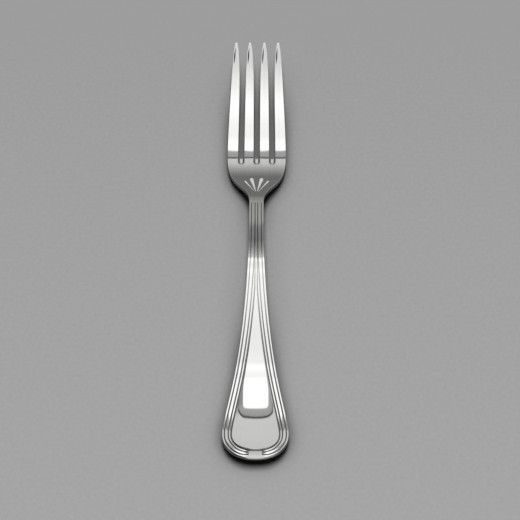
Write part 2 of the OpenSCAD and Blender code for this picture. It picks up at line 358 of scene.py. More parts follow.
def edge_plate(name, line, normals, top_depths, top, bottom, across):
    """A plate symmetric about the middle line, lofted along its right-hand edge.

    top_depths are the insets of the top's rings, one row for each point of the line. top takes x, y
    and the number of the ring, or None inside the rings.
    """
    loops = []
    for k in range(top_depths.shape[1]):
        ring = line + top_depths[:, k:k + 1] * normals
        loops.append(np.column_stack([ring, top(ring[:, 0], ring[:, 1], k)]))
        inner = ring
    middle = []
    for u in np.linspace(1, -1, across)[1:-1]:
        x = inner[:, 0] * u
        middle.append(np.column_stack([x, inner[:, 1], top(x, inner[:, 1], None)]))
    left_top = [loop * np.array([-1, 1, 1]) for loop in reversed(loops)]
    lower = []
    for a in ARC:
        ring = line + BACK_EDGE_R * (1 - math.cos(a)) * normals
        z = bottom(ring[:, 1]) + BACK_EDGE_R * (1 - math.sin(a))
        lower.append(np.column_stack([ring, z]))
    inner = lower[-1][:, :2]
    under = []
    for u in np.linspace(1, -1, across)[1:-1]:
        under.append(np.column_stack([inner[:, 0] * u, inner[:, 1], bottom(inner[:, 1])]))
    left_lower = [loop * np.array([-1, 1, 1]) for loop in reversed(lower)]
    right_to_left = loops + middle + left_top
    left_to_right = (lower + under + left_lower)[::-1]
    rings = np.stack(right_to_left + left_to_right, axis=1)
    rows, columns = rings.shape[:2]
    return closed_mesh(name, rings.reshape(-1, 3), grid_faces(rows, columns, around=True))


def inside(points, outline):
    """Which points lie inside a closed outline."""
    x, y = points[:, 0:1], points[:, 1:2]
    ax, ay = outline[:, 0], outline[:, 1]
    bx, by = np.roll(ax, -1), np.roll(ay, -1)
    crosses = (ay > y) != (by > y)
    with np.errstate(divide="ignore", invalid="ignore"):
        at = ax + (y - ay) * (bx - ax) / (by - ay)
    return np.count_nonzero(crosses & (x < at), axis=1) % 2 == 1


# Nodes

def node_tools(tree):
    """Short ways to add a node, to set or link a socket, and to calculate."""
    def add(kind, **settings):
        node = tree.nodes.new(kind)
        for key, value in settings.items():
            setattr(node, key, value)
        return node

    def put(socket, value):
        if isinstance(value, bpy.types.NodeSocket):
            tree.links.new(value, socket)
        else:
            socket.default_value = value

    def calc(operation, a, b=None, c=None, clamp=False):
        node = add("ShaderNodeMath", operation=operation, use_clamp=clamp)
        for socket, value in zip(node.inputs, (a, b, c)):
            if value is not None:
                put(socket, value)
        return node.outputs[0]

    return add, put, calc


def ramp(tree, value, lowest, highest, stops):
    """Levels of grey at places between a lowest and a highest value."""
    add, put = node_tools(tree)[:2]
    share = add("ShaderNodeMapRange")
    put(share.inputs["Value"], value)
    share.inputs["From Min"].default_value = lowest
    share.inputs["From Max"].default_value = highest
    node = add("ShaderNodeValToRGB")
    elements = node.color_ramp.elements
    while len(elements) < len(stops):
        elements.new(0.5)
    for element, (place, level) in zip(elements, sorted(stops)):
        element.position = (place - lowest) / (highest - lowest)
        element.color = (level, level, level, 1)
    put(node.inputs[0], share.outputs[0])
    return node.outputs[0]


def finish_nodes(name):
    """A new material with its node tree and its shader."""
    material = bpy.data.materials.new(name)
    material.use_nodes = True
    return material, material.node_tree, material.node_tree.nodes["Principled BSDF"]


# Rounded bars along paths, in Geometry Nodes

def bar_tree():
    """Turns each line of a mesh into a bar with rounded corners.

    The points of a line carry its centre, its sideways direction, half its width and height, and
    the corner radii of its upper and lower half, as attributes.
    """
    tree = bpy.data.node_groups.new("rounded_bar", "GeometryNodeTree")
    for label, kind in (("Lines", "Geometry"), ("Points around", "Int"), ("Finish", "Material")):
        tree.interface.new_socket(label, in_out="INPUT", socket_type="NodeSocket" + kind)
    tree.interface.new_socket("Bars", in_out="OUTPUT", socket_type="NodeSocketGeometry")
    link = tree.links.new
    add, put, calc = node_tools(tree)

    def attribute(name, data_type):
        node = add("GeometryNodeInputNamedAttribute", data_type=data_type)
        node.inputs["Name"].default_value = name
        return node.outputs["Attribute"]

    def vector_math(operation, a, b=None, scale=None):
        node = add("ShaderNodeVectorMath", operation=operation)
        put(node.inputs[0], a)
        if b is not None:
            put(node.inputs[1], b)
        if scale is not None:
            put(node.inputs["Scale"], scale)
        return node.outputs[0]

    group_in = add("NodeGroupInput")
    curve = add("GeometryNodeMeshToCurve")
    link(group_in.outputs["Lines"], curve.inputs["Mesh"])
    circle = add("GeometryNodeCurvePrimitiveCircle")
    circle.inputs["Radius"].default_value = 1.0
    link(group_in.outputs["Points around"], circle.inputs["Resolution"])
    turn = add("GeometryNodeTransform")
    half_step = calc("DIVIDE", math.pi, group_in.outputs["Points around"])
    rotation = add("ShaderNodeCombineXYZ")
    link(half_step, rotation.inputs["Z"])
    link(circle.outputs["Curve"], turn.inputs["Geometry"])
    link(rotation.outputs[0], turn.inputs["Rotation"])
    place = add("GeometryNodeInputPosition")
    remember = add("GeometryNodeStoreNamedAttribute", data_type="FLOAT_VECTOR", domain="POINT")
    remember.inputs["Name"].default_value = "round"
    link(turn.outputs["Geometry"], remember.inputs["Geometry"])
    link(place.outputs[0], remember.inputs["Value"])
    bar = add("GeometryNodeCurveToMesh")
    bar.inputs["Fill Caps"].default_value = True
    link(curve.outputs["Curve"], bar.inputs["Curve"])
    link(remember.outputs["Geometry"], bar.inputs["Profile Curve"])

    around = add("ShaderNodeSeparateXYZ")
    link(attribute("round", "FLOAT_VECTOR"), around.inputs[0])
    across, upward = around.outputs["X"], around.outputs["Y"]
    above = calc("GREATER_THAN", upward, 0.0)
    corner = add("ShaderNodeMix", data_type="VECTOR")
    link(above, corner.inputs["Factor"])
    link(attribute("lower_round", "FLOAT_VECTOR"), corner.inputs[4])
    link(attribute("upper_round", "FLOAT_VECTOR"), corner.inputs[5])
    radii = add("ShaderNodeSeparateXYZ")
    link(corner.outputs[1], radii.inputs[0])

    def rounded(direction, half, radius):
        core = calc("MULTIPLY", calc("SIGN", direction), calc("SUBTRACT", half, radius))
        return calc("MULTIPLY_ADD", direction, radius, core)

    sideways = rounded(across, attribute("half_width", "FLOAT"), radii.outputs["X"])
    height = rounded(upward, attribute("half_height", "FLOAT"), radii.outputs["Y"])
    lift = add("ShaderNodeCombineXYZ")
    link(height, lift.inputs["Z"])
    spot = vector_math("ADD", attribute("centre", "FLOAT_VECTOR"), lift.outputs[0])
    aside = vector_math("SCALE", attribute("side", "FLOAT_VECTOR"), scale=sideways)
    spot = vector_math("ADD", spot, aside)
    shape = add("GeometryNodeSetPosition")
    link(bar.outputs["Mesh"], shape.inputs["Geometry"])
    link(spot, shape.inputs["Position"])
    # How low a point lies on its bar: the moulding's finish darkens low places with staining and
    # painted shade
    depth = add("GeometryNodeStoreNamedAttribute", data_type="FLOAT", domain="POINT")
    depth.inputs["Name"].default_value = "groove"
    link(shape.outputs["Geometry"], depth.inputs["Geometry"])
    lowness = calc("SUBTRACT", 1.0, calc("DIVIDE", height, attribute("half_height", "FLOAT")))
    link(calc("MINIMUM", calc("MAXIMUM", lowness, 0.0), 1.0), depth.inputs["Value"])
    smooth = add("GeometryNodeSetShadeSmooth")
    link(depth.outputs["Geometry"], smooth.inputs["Geometry"])
    realize = add("GeometryNodeRealizeInstances")
    link(smooth.outputs[0], realize.inputs[0])
    finish = add("GeometryNodeSetMaterial")
    link(realize.outputs[0], finish.inputs["Geometry"])
    link(group_in.outputs["Finish"], finish.inputs["Material"])
    group_out = add("NodeGroupOutput")
    link(finish.outputs[0], group_out.inputs[0])
    return tree


BAR_TREE = bar_tree()


def bar_line(centre, side, half_width, half_height, upper, lower, lean=0):
    """What a rounded bar needs along its path. lean is the rise of its top over its run to the side."""
    count = len(centre)
    return {
        "centre": np.asarray(centre, float),
        "side": np.column_stack([side, np.broadcast_to(lean, count)]),
        "half_width": np.broadcast_to(half_width, count),
        "half_height": np.broadcast_to(half_height, count),
        "upper_round": np.column_stack([np.broadcast_to(v, count) for v in (*upper, 0)]),
        "lower_round": np.column_stack([np.broadcast_to(v, count) for v in (*lower, 0)]),
    }


def bars(name, lines, points_around, node, material):
    """One piece made of rounded bars along lines."""
    points = np.concatenate([line["centre"] for line in lines])
    edges = []
    start = 0
    for line in lines:
        count = len(line["centre"])
        edges += [(start + i, start + i + 1) for i in range(count - 1)]
        start += count
    mesh = bpy.data.meshes.new(name + "_lines")
    mesh.from_pydata([tuple(p) for p in points], edges, [])
    for key in lines[0]:
        values = np.concatenate([line[key] for line in lines])
        if values.ndim == 2:
            mesh.attributes.new(key, "FLOAT_VECTOR", "POINT").data.foreach_set("vector", values.ravel())
        else:
            mesh.attributes.new(key, "FLOAT", "POINT").data.foreach_set("value", values)
    source = bpy.data.objects.new(name + "_lines", mesh)
    bpy.context.scene.collection.objects.link(source)
    modifier = source.modifiers.new("bars", "NODES")
    modifier.node_group = BAR_TREE
    sockets = BAR_TREE.interface.items_tree
    inputs = {item.name: item.identifier for item in sockets if item.in_out == "INPUT"}
    modifier[inputs["Points around"]] = points_around
    modifier[inputs["Finish"]] = material
    dressed = source.evaluated_get(bpy.context.evaluated_depsgraph_get())
    made = bpy.data.meshes.new_from_object(dressed)
    made.name = name
    source.modifiers.remove(modifier)
    bpy.data.objects.remove(source)
    for key in ("centre", "side", "half_width", "half_height", "upper_round", "lower_round", "round"):
        if key in made.attributes:
            made.attributes.remove(made.attributes[key])
    shape = bmesh.new()
    shape.from_mesh(made)
    bmesh.ops.recalc_face_normals(shape, faces=shape.faces)
    shape.to_mesh(made)
    shape.free()
    return new_piece(name, made, node, None)


# Finishes

def polish_marks_group():
    """Fine scratches along the fork, and the soft waviness of a hand-polished face."""
    tree = bpy.data.node_groups.new("polish_marks", "ShaderNodeTree")
    for label in ("Across", "Along", "Wave size"):
        tree.interface.new_socket(label, in_out="INPUT", socket_type="NodeSocketFloat")
    for label in ("Scratches", "Waviness"):
        tree.interface.new_socket(label, in_out="OUTPUT", socket_type="NodeSocketFloat")
    add, put = node_tools(tree)[:2]
    group_in = add("NodeGroupInput")
    group_out = add("NodeGroupOutput")
    coords = add("ShaderNodeTexCoord")
    stretch = add("ShaderNodeCombineXYZ")
    put(stretch.inputs["X"], group_in.outputs["Across"])
    put(stretch.inputs["Y"], group_in.outputs["Along"])
    put(stretch.inputs["Z"], group_in.outputs["Along"])
    spread = add("ShaderNodeVectorMath", operation="MULTIPLY")
    put(spread.inputs[0], coords.outputs["Object"])
    put(spread.inputs[1], stretch.outputs[0])
    hairs = add("ShaderNodeTexNoise")
    hairs.inputs["Scale"].default_value = 1.0
    hairs.inputs["Detail"].default_value = 3.0
    hairs.inputs["Distortion"].default_value = 0.4
    put(hairs.inputs["Vector"], spread.outputs[0])
    fine = add("ShaderNodeMapRange")
    put(fine.inputs["Value"], hairs.outputs["Fac"])
    fine.inputs["From Min"].default_value = 0.45
    fine.inputs["From Max"].default_value = 0.75
    waves = add("ShaderNodeTexNoise")
    waves.inputs["Detail"].default_value = 1.0
    put(waves.inputs["Scale"], group_in.outputs["Wave size"])
    put(waves.inputs["Vector"], coords.outputs["Object"])
    put(group_out.inputs["Scratches"], fine.outputs["Result"])
    put(group_out.inputs["Waviness"], waves.outputs["Fac"])
    return tree


POLISH_MARKS = polish_marks_group()

# Width and length of the finest scratches
HAIR_W = 0.11 * MM
HAIR_L = 3.3 * MM
# Strength of the dark in the grooves at places along the fork, in millimetres. It is partly staining
# and partly painted shade, and is weaker over the top of the arch than elsewhere.
GROOVE_STAIN_AND_SHADE = (
    (-76, 0.6), (-71, 0.8), (-60, 0.9), (-28, 0.6), (-20, 0.45), (-6, 0.45), (2, 0.8), (16, 0.8),
)
# Brightness that painted shade leaves the steel between neck and arch, in the same way
NECK_PAINTED_SHADE = (
    (-12, 1), (-9.5, 1), (-7.5, 0.68), (-4.5, 0.46), (-1.5, 0.52),
    (1, 0.58), (3, 0.62), (5.5, 1), (20, 1),
)
RAGGED_L = 6 * MM
# Roughness that the two add where they are strongest
GROOVE_STAIN_AND_SHADE_DULLNESS = 0.3
NECK_SHADE_DULLNESS = 0.4


def along_ramp(tree, place, levels):
    """Levels at places along the fork, which are given in millimetres."""
    stops = [(y * MM, level) for y, level in levels]
    return ramp(tree, place, stops[0][0], stops[-1][0], stops)


def steel(name, colour, dark_colour, roughness, scratch_roughness, wave_depth, metallic=1.0, worn=None):
    """Steel that is stained and darkened with painted shade down in the grooves, or worn with
    scratches; between neck and arch it also gets painted shade.

    worn is the strength, width and length of the scratches.
    """
    material, tree, shader = finish_nodes(name)
    add, put, calc = node_tools(tree)
    shader.inputs["Metallic"].default_value = metallic
    marks = add("ShaderNodeGroup")
    marks.node_tree = POLISH_MARKS
    strength, scratch_w, scratch_l = worn or (0, HAIR_W, HAIR_L)
    place = add("ShaderNodeSeparateXYZ")
    put(place.inputs[0], add("ShaderNodeTexCoord").outputs["Object"])
    marks.inputs["Across"].default_value = 1 / scratch_w
    marks.inputs["Along"].default_value = 1 / scratch_l
    marks.inputs["Wave size"].default_value = 160.0
    tone = add("ShaderNodeMix", data_type="RGBA")
    tone.inputs[6].default_value = (*colour, 1)
    tone.inputs[7].default_value = (*dark_colour, 1)
    dullness = calc("MULTIPLY_ADD", marks.outputs["Scratches"], scratch_roughness, roughness)
    if worn is None:
        # Darkening in the grooves: partly staining, partly painted shade
        depth = add("ShaderNodeAttribute", attribute_name="groove")
        groove_stain_and_shade = add("ShaderNodeMapRange")
        groove_stain_and_shade.inputs["From Min"].default_value = 0.12
        groove_stain_and_shade.inputs["From Max"].default_value = 0.6
        put(groove_stain_and_shade.inputs["Value"], depth.outputs["Fac"])
        stain_and_shade_there = along_ramp(tree, place.outputs["Y"], GROOVE_STAIN_AND_SHADE)
        groove_stain_and_shade = calc("MULTIPLY", groove_stain_and_shade.outputs["Result"], stain_and_shade_there)
        put(tone.inputs["Factor"], groove_stain_and_shade)
        dullness = calc("MULTIPLY_ADD", groove_stain_and_shade, GROOVE_STAIN_AND_SHADE_DULLNESS, dullness)
    else:
        put(tone.inputs["Factor"], calc("MULTIPLY", marks.outputs["Scratches"], strength))
    # The painted shade between neck and arch also dulls the steel, and has ragged edges
    ragged = add("ShaderNodeTexNoise", noise_dimensions="1D")
    ragged.inputs["Scale"].default_value = 1200.0
    put(ragged.inputs["W"], place.outputs["X"])
    uneven = calc("SUBTRACT", ragged.outputs["Fac"], 0.5)
    along = calc("MULTIPLY_ADD", uneven, RAGGED_L, place.outputs["Y"])
    neck_shade_level = along_ramp(tree, along, NECK_PAINTED_SHADE)
    neck_shaded = add("ShaderNodeVectorMath", operation="SCALE")
    put(neck_shaded.inputs[0], tone.outputs[2])
    put(neck_shaded.inputs["Scale"], neck_shade_level)
    dullness = calc("MULTIPLY_ADD", calc("SUBTRACT", 1.0, neck_shade_level), NECK_SHADE_DULLNESS, dullness)
    put(shader.inputs["Base Color"], neck_shaded.outputs[0])
    put(shader.inputs["Roughness"], dullness)
    bump = add("ShaderNodeBump")
    bump.inputs["Strength"].default_value = 1.0
    bump.inputs["Distance"].default_value = wave_depth
    put(bump.inputs["Height"], marks.outputs["Waviness"])
    put(shader.inputs["Normal"], bump.outputs[0])
    return material


STEEL = (0.83, 0.83, 0.82)
SCRATCHED = (0.5, 0.5, 0.49)
polished = steel("polished_steel", STEEL, SCRATCHED, 0.03, 0.03, 0.01 * MM, worn=(0.1, HAIR_W, HAIR_L))
wear = (0.25, 0.25 * MM, 40 * MM)
worn_steel = steel("worn_steel", STEEL, SCRATCHED, 0.035, 0.04, 0.013 * MM, worn=wear)
# Its dark colour is the staining and painted shade in the grooves
moulded = steel("moulding_steel", STEEL, (0.08, 0.074, 0.068), 0.045, 0.05, 0.004 * MM)
satin = steel("satin_steel", (0.85, 0.85, 0.84), (0.6, 0.6, 0.58), 0.45, 0.1, 0.004 * MM, metallic=0.45)


# Tines

def tine_half(d, root_w, tine_l):
    """Half width of a tine at a distance from its tip."""
    run = POINT_L - NOSE_L
    swell_l = tine_l - POINT_L
    swell = (root_w - WAIST_W) / 2
    nose = NOSE_W / 2 * np.sqrt(d / NOSE_L)
    t = np.clip((d - NOSE_L) / run, 0, 1)
    point = sweep(t, NOSE_W / 2, WAIST_W / 2, POINT_SLOPE * run, 2 * swell / swell_l * run)
    body = root_w / 2 - swell * ((tine_l - d) / swell_l) ** 2
    return np.select([d <= NOSE_L, d <= POINT_L], [nose, point], body)


def tine(name, root_x, root_w, tip_x):
    """A tine, with a short facet that was left by the grinding of its point."""
    tine_l = Y_TIP - Y_ROOT

    def middle(d):
        return mix(tip_x, root_x, ease(d / tine_l))

    nose = NOSE_L * np.linspace(0.04, 1, 24) ** 2
    d = np.concatenate([nose, np.linspace(NOSE_L, tine_l, 110)[1:]])
    half = tine_half(d, root_w, tine_l)
    y = Y_TIP - d
    # The nose is rounded from the side as well
    blunt = np.clip(d / BLUNT_L, 0, 1)
    half_t = thickness(y) / 2 * mix(BLUNT_SHARE, 1, np.sqrt(1 - (1 - blunt) ** 2))
    centre = np.column_stack([middle(d), y, back(y) + thickness(y) / 2])
    side = np.tile([1.0, 0.0], (len(d), 1))
    thinner = np.minimum(half, half_t)
    upper = np.minimum(TINE_EDGE_R, thinner * 0.8)
    lower = np.minimum(BACK_EDGE_R, thinner * 0.9)
    line = bar_line(centre, side, half, half_t, (upper, upper), (lower, lower))
    d = np.linspace(FACET_FROM, FACET_TO, FACET_POINTS)
    y = Y_TIP - d
    x = middle(d) - tine_half(d, root_w, tine_l) + FACET_IN
    half_w = FACET_HALF_W * np.sin(np.linspace(0.2, math.pi - 0.2, FACET_POINTS))
    centre = np.column_stack([x, y, face(y) + 0.5 * half_w - FACET_HALF_H])
    corner = (half_w * 0.1, 0.01 * MM)
    facet = bar_line(centre, side[:FACET_POINTS], half_w, FACET_HALF_H, corner, corner, FACET_LEAN)
    return bars(name, [line, facet], 64, name, worn_steel)


slot_side = SLOT_PITCH + SLOT_W / 2
outer_x = (HEAD_W / 2 + slot_side) / 2
outer_w = HEAD_W / 2 - slot_side
tine("left_outer_tine", -outer_x, outer_w, -OUTER_TIP_SPAN / 2)
tine("left_inner_tine", -SLOT_PITCH / 2, SLOT_PITCH - SLOT_W, -INNER_TIP_SPAN / 2)
tine("right_inner_tine", SLOT_PITCH / 2, SLOT_PITCH - SLOT_W, INNER_TIP_SPAN / 2)
tine("right_outer_tine", outer_x, outer_w, OUTER_TIP_SPAN / 2)


# Head

def head_piece():
    """The head between its two shoulders and the round ends of the slots."""
    right = shoulder_line(0.25 * MM)
    right_in = -inward(right, first=(0, 1), last=(0, 1))
    left = mirrored(right)[::-1]
    left_in = mirrored(right_in)[::-1]
    arcs = []
    for centre_x in (SLOT_PITCH, 0, -SLOT_PITCH):
        angle = np.linspace(0, -math.pi, 25)
        out = np.column_stack([np.cos(angle), np.sin(angle)])
        out[[0, -1], 1] = 0
        straight = np.linspace(Y_ROOT, Y_SLOT, 5)[:-1, None] * np.array([0, 1])
        right_side = straight + np.array([centre_x + SLOT_W / 2, 0])
        left_side = (straight + np.array([centre_x - SLOT_W / 2, 0]))[::-1]
        line = np.concatenate([right_side, np.array([centre_x, Y_SLOT]) + SLOT_W / 2 * out, left_side])
        arcs.append((line, np.concatenate([np.tile(out[:1], (4, 1)), out, np.tile(out[-1:], (4, 1))])))
    borders = [(right, right_in)] + arcs + [(left, left_in)]
    points = []
    faces = []

    def add_grid(rings):
        start = sum(len(p) for p in points)
        points.append(np.concatenate(rings))
        faces.extend(grid_faces(len(rings), len(rings[0]), start))

    def fill(radius, height):
        """Fills the face or the back, inside its rounded edge."""
        outline = np.concatenate([line + radius * normals for line, normals in borders])
        low, high = outline.min(axis=0), outline.max(axis=0)
        gap = 0.6 * MM
        across = np.arange(low[0], high[0], gap)
        along = np.arange(low[1], high[1], gap)
        spots = np.array([(x + (j % 2) * gap / 2, y) for j, y in enumerate(along) for x in across])
        spots = spots[inside(spots, outline)]
        # Spots close to the outline would make slivers
        near = np.min(np.linalg.norm(spots[:, None] - outline[None], axis=2), axis=1)
        spots = spots[near > gap * 0.55]
        flat = [Vector(p) for p in np.concatenate([outline, spots])]
        made = delaunay_2d_cdt(flat, [], [list(range(len(outline)))], 1, 1e-9)
        plan = np.array([(v.x, v.y) for v in made[0]])
        start = sum(len(p) for p in points)
        points.append(np.column_stack([plan, height(plan[:, 1])]))
        faces.extend([tuple(start + i for i in polygon) for polygon in made[2]])

    for line, normals in borders:
        rings = []
        for a in ARC[::-1]:
            ring = line + FACE_EDGE_R * (1 - math.cos(a)) * normals
            z = groove_floor(ring[:, 1]) - FACE_EDGE_R * (1 - math.sin(a))
            rings.append(np.column_stack([ring, z]))
        for a in ARC:
            ring = line + BACK_EDGE_R * (1 - math.cos(a)) * normals
            z = back(ring[:, 1]) + BACK_EDGE_R * (1 - math.sin(a))
            rings.append(np.column_stack([ring, z]))
        add_grid(rings)
    fill(FACE_EDGE_R, groove_floor)
    fill(BACK_EDGE_R, back)
    mesh = closed_mesh("head", np.concatenate(points), faces)
    return new_piece("head", mesh, "head", worn_steel)


head_piece()


def slot_ends():
    """The steel left standing in the ends of the slots, below the face."""
    webs = []
    half = SLOT_W / 2 - SLOT_END_GAP
    front = Y_ROOT + SLOT_END_REACH
    round_end = Y_SLOT - half * np.cos(np.linspace(0.25, math.pi / 2, 12))
    y = np.concatenate([round_end, np.linspace(Y_SLOT, front, 7)[1:]])
    half_w = np.sqrt(np.clip(half**2 - np.minimum(y - Y_SLOT, 0) ** 2, 0, None))
    half_t = (thickness(y) - SLOT_END_H) / 2
    for centre_x in (-SLOT_PITCH, 0, SLOT_PITCH):
        centre = np.column_stack([np.full(len(y), centre_x), y, back(y) + half_t])
        side = np.tile([1.0, 0.0], (len(y), 1))
        corner = half_w * 0.5
        lower = (corner * 0.3, half_t * 0.3)
        webs.append(bar_line(centre, side, half_w, half_t, (corner, corner), lower))
    return bars("slot_ends", webs, 32, "head", worn_steel)


slot_ends()


# Neck and handle

def mark_bed(mesh):
    """Marks the bed inside the rim as the bottom of the grooves."""
    places = np.empty(len(mesh.vertices) * 3)
    mesh.vertices.foreach_get("co", places)
    places = places.reshape(-1, 3)
    under_rim = inset(RIM_W / 4)
    outline = np.concatenate([under_rim, mirrored(under_rim)[::-1]])
    on_bed = np.abs(places[:, 2] - groove_floor(places[:, 1])) < BED_PLAY
    # The moulding's finish darkens this bed with staining and painted shade
    depth = (on_bed & inside(places[:, :2], outline)).astype(float)
    mesh.attributes.new("groove", "FLOAT", "POINT").data.foreach_set("value", depth)


def body_piece(name, high, low):
    """The neck or the handle: the plate under the threads between two places along the fork."""
    kept = (EDGE[:, 1] >= low - PLAY) & (EDGE[:, 1] <= high + PLAY)
    line, normals = EDGE[kept], EDGE_IN[kept]
    # A cut across the plate gets a point of its own
    for y, i in ((high, 0), (low, -1)):
        if abs(line[i, 1] - y) > SAME_POINT and y > Y_END + MM:
            x = np.interp(-y, -EDGE[:, 1], EDGE[:, 0])
            place = 0 if i == 0 else len(line)
            line = np.insert(line, place, (x, y), axis=0)
            normals = np.insert(normals, place, normals[i], axis=0)
    depths = np.tile([0, RIM_W / 2], (len(line), 1))
    mesh = edge_plate(name, line, normals, depths, lambda x, y, k: groove_floor(y), back, 9)
    mark_bed(mesh)
    return new_piece(name, mesh, name, moulded)


body_piece("neck", Y_NECK, Y_HANDLE)
body_piece("handle", Y_HANDLE, Y_END)


# Thread moulding

def kept_height(y):
    """Share of their height that the threads keep, which falls where they sink into the head."""
    return 1 - SINK * ease(part_way(Y_NECK - FADE_L, Y_NECK + FADE_L, y))


def thread_line(points, normals, width, height, corner, lean=0):
    """A rounded bar on the bed. width is half the bar's, and height is its height over the bed."""
    y = points[:, 1]
    half_height = height * kept_height(y)
    centre = np.column_stack([points, bed(y)])
    run = np.minimum(corner, width * 0.999)
    upper = (run, np.minimum(run * 1.2, half_height * 0.9))
    lower = (run * 0.3, half_height * 0.3)
    return bar_line(centre, normals, width, half_height, upper, lower, lean)


def crispness(y):
    """Width of the rounding on the threads' edges: crisp on the neck, softer along the handle."""
    return mix(CRISP_R, SOFT_R, ease(part_way(Y_CRISP, Y_SOFT, y)))


def rim_piece():
    """The rim all round, and the land that joins it to the panel in the gap at the end."""
    right = inset(RIM_W / 2)
    left = mirrored(right)[::-1][1:]
    points = np.concatenate([right, left])
    normals = np.concatenate([EDGE_IN, mirrored(EDGE_IN)[::-1][1:]])
    middle = ease(part_way(WEAR_FROM_X, WEAR_FULL_X, np.abs(points[:, 0])))
    worn = np.where(points[:, 1] < Y_WIDEST, middle, 0)
    extra = WEAR_EXTRA_W * worn
    points = points + extra[:, None] * normals
    corner = crispness(points[:, 1]) * mix(1, 0.4, worn)
    rim = thread_line(points, normals, RIM_W / 2 + extra, THREAD_H, corner, WEAR_LEAN * worn)
    rim["centre"][:, 2] -= WEAR_DROP * worn
    land_x = THREAD_GAP / 2 - GROOVE_W / 2
    x = np.linspace(-land_x, land_x, 15)
    # The land starts a little under the rim
    y0, y1 = Y_END + RIM_W * 0.9, Y_END + PANEL_IN - GROOVE_W
    land_points = np.column_stack([x, np.full(len(x), (y0 + y1) / 2)])
    slope = (face(y1) - face(y0)) / (y1 - y0)
    across = np.tile([0.0, 1.0], (len(x), 1))
    land = thread_line(land_points, across, (y1 - y0) / 2, LAND_H, LAND_EDGE_R, slope)
    return bars("rim_thread", [rim, land], 64, "rim_thread", moulded)


def side_thread(name, sign, near, width, height):
    """A thread beside the edge, which starts where it has room beside the spine."""
    outer = inset(near)
    inner = inset(near + width)
    along_neck = outer[:, 1] > Y_WIDEST
    room = np.where(along_neck, outer[:, 0] - SPINE_W / 2 - GROOVE_W / 2, width)
    kept = (room > THINNEST_W) & (along_neck | (inner[:, 0] >= THREAD_GAP / 2))
    half = np.minimum(room[kept], width) / 2
    points, normals = outer[kept] + half[:, None] * EDGE_IN[kept], EDGE_IN[kept]
    run = run_along(points)
    # Its end by the gap is a point
    point_l = width * 1.6
    half = half * np.clip((run[-1] - run) / point_l, 0.05, 1) ** 0.8
    normals = normals * np.array([sign, 1])
    points = points * np.array([sign, 1])
    corner = np.minimum(crispness(points[:, 1]), half * 0.9)
    line = thread_line(points, normals, half, height, corner)
    return bars(name, [line], 64, name, moulded)


rim_piece()
for sign, word in ((-1, "left"), (1, "right")):
    side_thread(word + "_thread", sign, BEAD_IN, BEAD_W, THREAD_H)
    side_thread(word + "_fine_thread", sign, FINE_IN, FINE_W, FINE_H)


# Spine and crowned panel

def panel_piece():
    """The spine of the neck, which widens into the crowned panel."""
    line = inset(PANEL_IN)
    end = np.argmax(line[:, 1] < Y_WIDEST)
    line[:end, 0] = np.maximum(line[:end, 0], SPINE_W / 2)
    line[end:, 0] = np.maximum(line[end:, 0], 0)
    normals = inward(line, first=(0, -1), last=(-1, 0))
    wide = ease(np.clip((line[:, 0] - SPINE_W / 2) / WIDENING, 0, 1))
    wide = np.maximum.accumulate(wide)
    share = np.linspace(0, 1, 9)
    depths = mix(SPINE_EDGE_W, PANEL_EDGE_W, wide)[:, None] * share
    half = np.maximum.accumulate((line + depths[:, -1:] * normals)[:, 0])
    radius = mix(SPINE_CROWN_R, CROWN_R, wide)
    lip = mix(THREAD_H, PANEL_H, wide) * kept_height(line[:, 1])
    crest = lip + half**2 / 2 / radius

    def top(x, y, k):
        crown = crest - x * x / 2 / radius
        if k is not None:
            crown = crown * math.sqrt(1 - (1 - share[k]) ** 2)
        return bed(y) + crown

    def bottom(y):
        return bed(y) - BACK_EDGE_R * 1.5

    mesh = edge_plate("centre_panel", line, normals, depths, top, bottom, 25)
    return new_piece("centre_panel", mesh, "centre_panel", polished)


panel_piece()


# Fan on the head

def petal(reach, width, angle):
    """A petal that widens from its root to a round end."""
    root = np.array([0, Y_FAN])
    way = np.array([-math.sin(angle), math.cos(angle)])
    half = width / 2
    last = reach - half
    round_end = last + half * np.sin(np.linspace(0.1, 1.52, 10))
    s = np.concatenate([np.linspace(PETAL_START, last, 24), round_end])
    grow = np.where(s < last, mix(0.12, 1, (s - PETAL_START) / (last - PETAL_START)), 1)
    round_off = np.sqrt(np.clip(1 - ((s - last) / half) ** 2, 0.002, 1))
    half_w = half * np.where(s > last, round_off, grow)
    points = root + s[:, None] * way
    high = PETAL_H * np.clip(half_w / half + 0.35, 0, 1)
    centre = np.column_stack([points, face(points[:, 1])])
    side = np.tile([way[1], -way[0]], (len(s), 1))
    return bar_line(centre, side, half_w, high, (half_w * 0.8, high * 0.9), (half_w * 0.3, high * 0.3))


petals = []
for sign in (-1, 1):
    petals.append(petal(7.3 * MM, 1.25 * MM, sign * math.radians(14)))
    petals.append(petal(7 * MM, 0.6 * MM, sign * math.radians(34)))
bars("fan_ornament", petals, 24, "fan_ornament", satin)


# Table, light and camera

